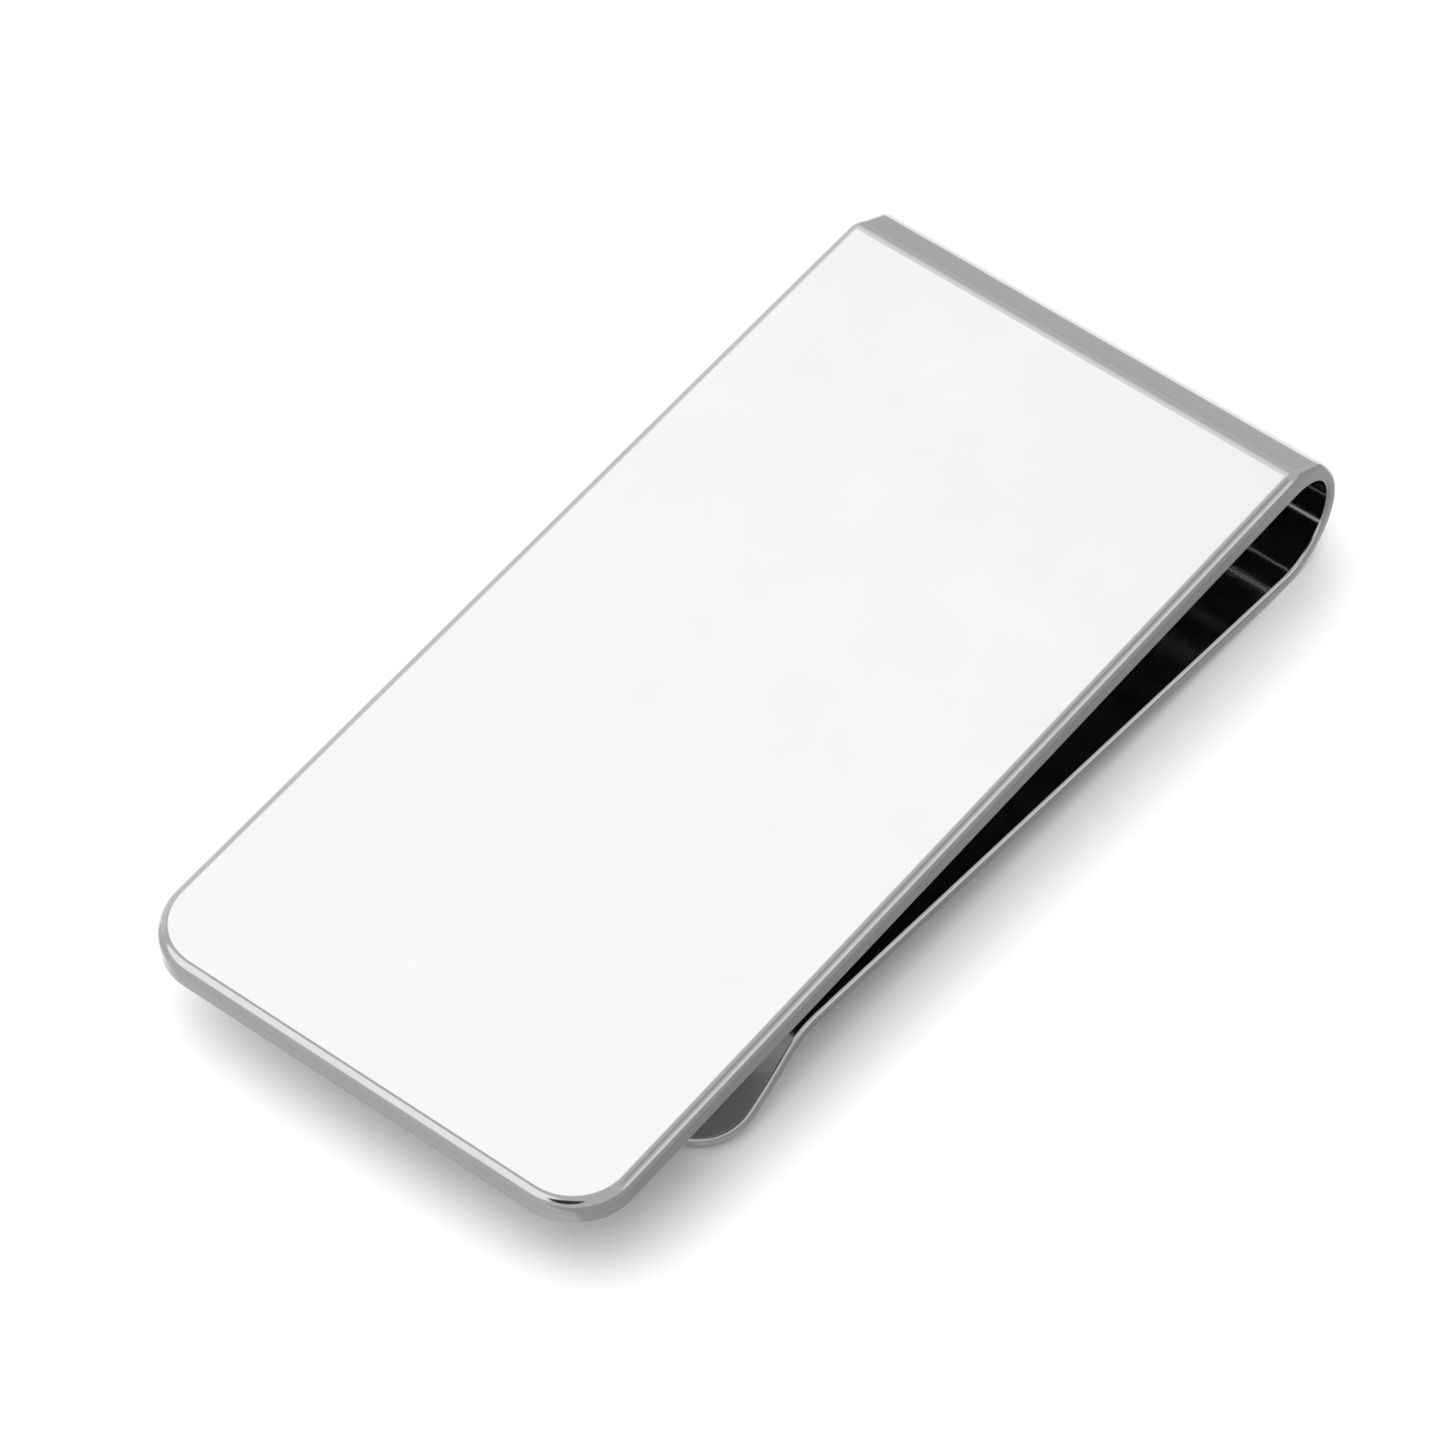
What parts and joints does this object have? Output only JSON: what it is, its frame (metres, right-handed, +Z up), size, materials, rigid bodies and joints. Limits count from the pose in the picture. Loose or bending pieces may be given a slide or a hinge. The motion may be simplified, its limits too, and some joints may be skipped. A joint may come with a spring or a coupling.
{
  "type": "money clip",
  "caption": "Polished spring money clip: flat face plate soldered on a bent spring strip whose back leaf grips folded notes and flares to a rounded lip.",
  "frame": {"origin": "on the table under the clip as it is put down, at mid-width and midway between its two ends", "axes": "+X along the clip from the free end to the bend, +Y across its width, +Z up from the table; the flat face leans 2.5 degrees, its free end lower"},
  "size_m": [0.0556, 0.0254, 0.0078],
  "materials": {
    "polished_plate": "mirror polished silver-coloured metal",
    "solder": "dull grey solder film",
    "polished_strip": "polished silver-coloured spring metal"
  },
  "bodies": {
    "front": {"face_plate": "polished_plate", "solder_layer": "solder", "front_leaf": "polished_strip", "spring_bend": "polished_strip"},
    "back": {"back_leaf": "polished_strip"}
  },
  "joints": [
    {"name": "clip_opens", "type": "hinge", "parent": "back", "child": "front", "pos_m": [0.02421, 0, 0.00355], "axis": [0, 1, 0], "range_deg": [-1.1, 6], "stiffness_Nm_per_rad": 7, "deforming": ["spring_bend"]}
  ]
}
